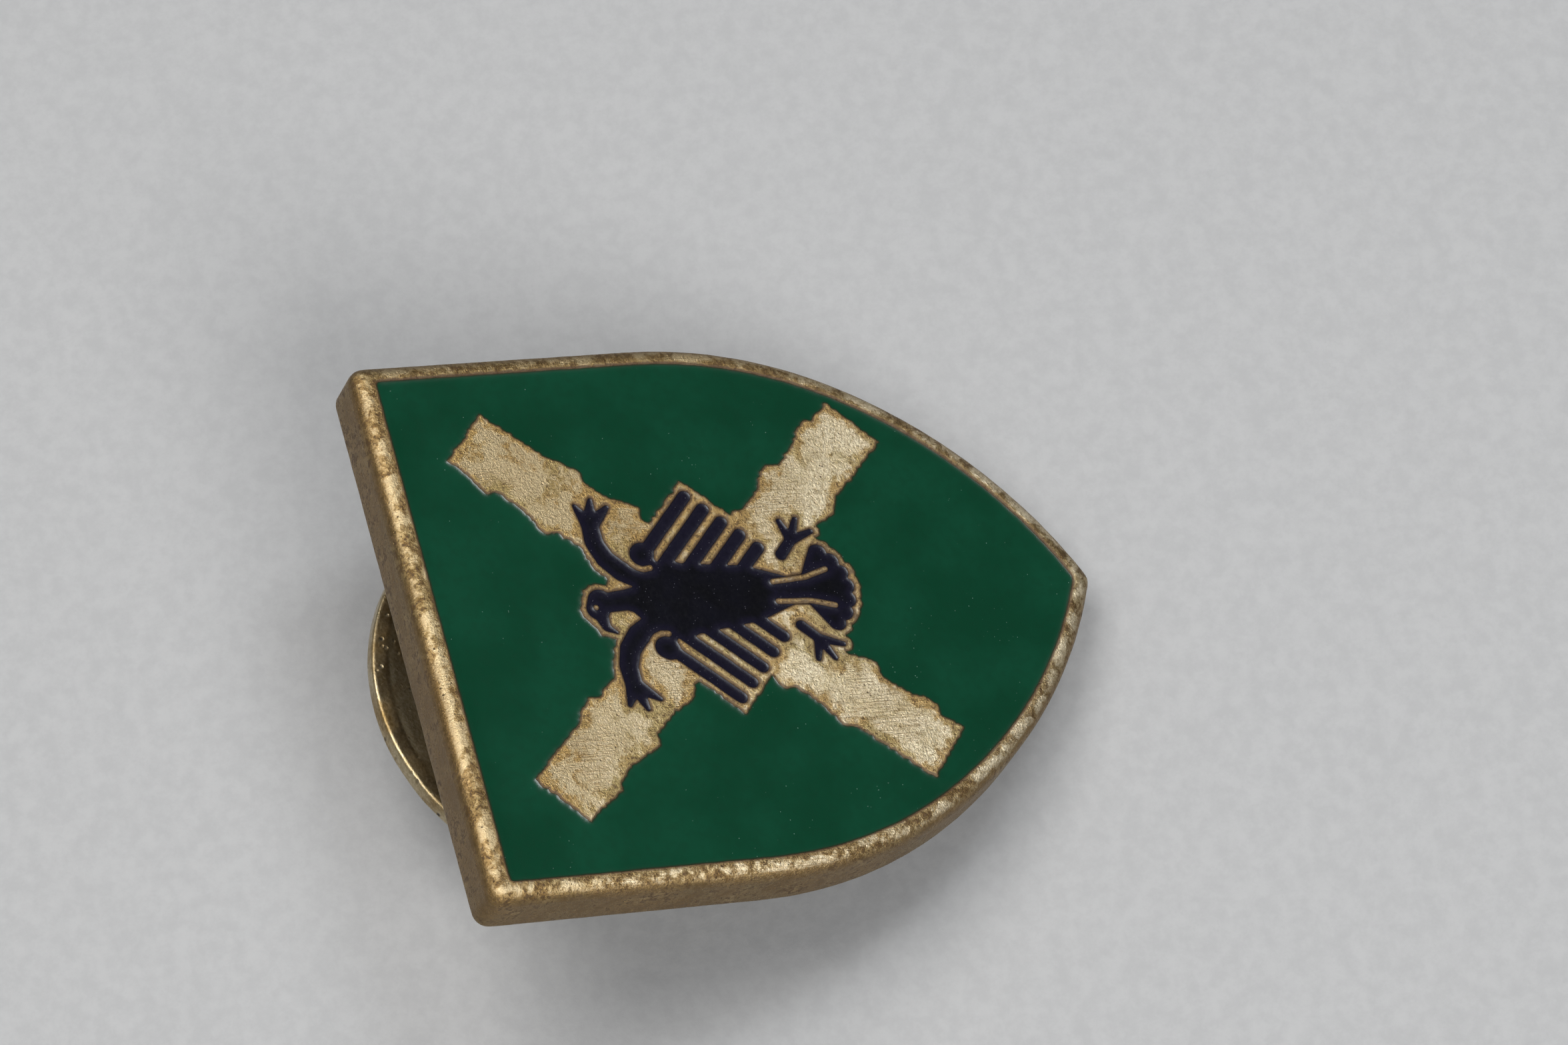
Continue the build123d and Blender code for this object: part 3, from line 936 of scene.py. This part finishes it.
def turned_brass_material():
    """Turned brass with tool lines round the post and a brown patina in patches."""
    s = Shader("Turned_brass")
    film = s.noise(0.7, 5.0, 0.6, 0.3)
    grain = s.noise(0.06, 5.0, 0.65)
    lines = s.noise(0.05, 2.0, 0.5, 0.0, s.stretched((0.05, 0.05, 1.0)))
    bright = s.mix(s.span(grain, 0.35, 0.7), BRASS_SHADE, BRASS_LIGHT)
    dull = s.mix(s.span(grain, 0.35, 0.7), BRASS_FILM_DARK, BRASS_FILM_PALE)
    colour = s.mix(s.span(film, 0.45, 0.65), bright, dull)
    rough = s.span(film, 0.35, 0.7, 0.26, 0.48)
    normal = s.bump(lines, 0.35, 0.012)
    normal = s.bump(grain, 0.35, 0.01, normal)
    return s.finish(Base_Color=colour, Roughness=rough, Metallic=1.0, Normal=normal)


def solder_material():
    """Dull grey solder with a frosted, lumpy skin."""
    s = Shader("Solder")
    film = s.noise(0.4, 5.0, 0.6, 0.4)
    grain = s.noise(0.05, 5.0, 0.7)
    colour = s.mix(s.span(film, 0.35, 0.65), SOLDER_LIGHT, SOLDER_DARK)
    rough = s.span(grain, 0.3, 0.7, 0.32, 0.55)
    normal = s.bump(film, 0.4, 0.03)
    normal = s.bump(grain, 0.4, 0.012, normal)
    return s.finish(Base_Color=colour, Roughness=rough, Metallic=1.0, Normal=normal)


def floor_material():
    """Plain pale grey surface with a faint grain."""
    s = Shader("Pale_floor")
    grain = s.noise(0.5, 4.0, 0.7)
    colour = s.mix(s.span(grain, 0.3, 0.7), FLOOR_DARK, FLOOR_PALE)
    normal = s.bump(grain, 0.25, 0.05)
    return s.finish(Base_Color=colour, Roughness=0.62, Metallic=0.0, Normal=normal)


# ---------------------------------------------------------------- the badge


# the vector noise in `worn` is seeded from the clock unless this is set
noise.seed_set(WEAR_SEED)
outline = worn(max(flat_loops("badge_body", BACK_Z), key=len_of), 0.006, 3, 0.1, 0.0)
field_loops = sorted(flat_loops("enamel_field", -0.05), key=len_of, reverse=True)
field_loops = [worn(field_loops[0], 0.010, 3)] + [
    worn(loop, 0.038, 1, 0.05, 1.4) for loop in field_loops[1:]
]
bird_loops = [worn(loop, 0.008, 1, 0.05) for loop in flat_loops("enamel_bird", -0.09)]
claw_loops = {
    side: [worn(loop, 0.006, 1, 0.05) for loop in flat_loops("enamel_claw_" + side, -0.09)]
    for side in ("left", "right")
}
all_cells = field_loops + bird_loops + claw_loops["left"] + claw_loops["right"]

gilt = gilt_material()
green = green_material()
navy = navy_material()
nickel = nickel_material()
brass = turned_brass_material()
solder = solder_material()

enamels = [
    ("Green_field", "enamel_field", field_loops, FIELD_LEVEL, FIELD_CLIMB, 0.2, green),
    ("Bird", "enamel_bird", bird_loops, BIRD_LEVEL, BIRD_CLIMB, 0.14, navy),
    ("Claw_left", "enamel_claw_left", claw_loops["left"], BIRD_LEVEL, BIRD_CLIMB, 0.1, navy),
    ("Claw_right", "enamel_claw_right", claw_loops["right"], BIRD_LEVEL, BIRD_CLIMB, 0.1, navy),
]
pieces = [(make_plate(outline, all_cells), "badge_body", "badge", gilt)]
for seed, (name, node, loops, level, climb, spacing, material) in enumerate(enamels, 11):
    pool = make_enamel(name, loops, level, climb, spacing, seed)
    pieces.append((pool, node, "badge", material))
pieces += [
    (make_post(), "screw_post", "badge", brass),
    (make_solder(), "solder_bead", "badge", solder),
    (make_disc(), "backing_disc", "disc", nickel),
    (make_nut(), "thumb_nut", "nut", brass),
]
for piece, node, body, material in pieces:
    piece.data.materials.append(material)
    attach(piece, body)
    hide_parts(node)


# ---------------------------------------------------------------- floor, light and camera


def make_floor():
    """Wide flat surface that the badge lies on."""
    mesh = bpy.data.meshes.new("Floor")
    half = FLOOR_HALF_SIZE
    corners = [(-half, -half, 0), (half, -half, 0), (half, half, 0), (-half, half, 0)]
    mesh.from_pydata(corners, [], [(0, 1, 2, 3)])
    floor = bpy.data.objects.new("Floor", mesh)
    bpy.context.scene.collection.objects.link(floor)
    mesh.materials.append(floor_material())


def add_light(name, place, size, power, colour):
    """Round area light aimed at the middle of the scene."""
    light = bpy.data.lights.new(name, "AREA")
    light.shape = "DISK"
    light.size = size
    light.energy = power
    light.color = colour
    obj = bpy.data.objects.new(name, light)
    obj.location = place
    obj.rotation_euler = (-Vector(place)).to_track_quat("-Z", "Y").to_euler()
    bpy.context.scene.collection.objects.link(obj)


def add_world():
    """Soft studio: bright overhead and behind the raised edge, dim low down on the far side."""
    world = bpy.data.worlds.new("Studio")
    world.use_nodes = True
    tree = world.node_tree
    background = tree.nodes["Background"]
    coords = tree.nodes.new("ShaderNodeTexCoord")
    along = tree.nodes.new("ShaderNodeVectorMath")
    along.operation = "DOT_PRODUCT"
    along.inputs[1].default_value = Vector(SKY_SIDE).normalized()
    level = tree.nodes.new("ShaderNodeMapRange")
    level.interpolation_type = "SMOOTHSTEP"
    level.inputs["From Min"].default_value = -0.15
    level.inputs["From Max"].default_value = 0.95
    level.inputs["To Min"].default_value = SKY_LOW
    level.inputs["To Max"].default_value = SKY_HIGH
    tree.links.new(coords.outputs["Generated"], along.inputs[0])
    tree.links.new(along.outputs["Value"], level.inputs["Value"])
    tree.links.new(level.outputs["Result"], background.inputs["Strength"])
    background.inputs["Color"].default_value = SKY_COLOUR
    bpy.context.scene.world = world


def add_camera():
    """Long lens looking down on the badge from its upper left, turned on its side."""
    camera_data = bpy.data.cameras.new("Camera")
    camera_data.sensor_width = 36.0
    camera_data.lens = CAMERA_LENS
    camera_data.clip_start = 0.01
    camera = bpy.data.objects.new("Camera", camera_data)
    turn = Matrix.Rotation(LEAN, 3, "X")
    right = turn @ Vector(CAMERA_RIGHT)
    up = turn @ -Vector(CAMERA_DOWN)
    backward = turn @ -Vector(CAMERA_FORWARD)
    axes = Matrix([right, up, backward]).transposed().to_4x4()
    camera.matrix_world = Matrix.Translation(to_row @ Vector(CAMERA_PLACE)) @ axes
    bpy.context.scene.collection.objects.link(camera)
    bpy.context.scene.camera = camera


make_floor()
add_world()
for light in LIGHTS:
    add_light(*light)
add_camera()
bpy.context.scene.view_settings.view_transform = "Standard"
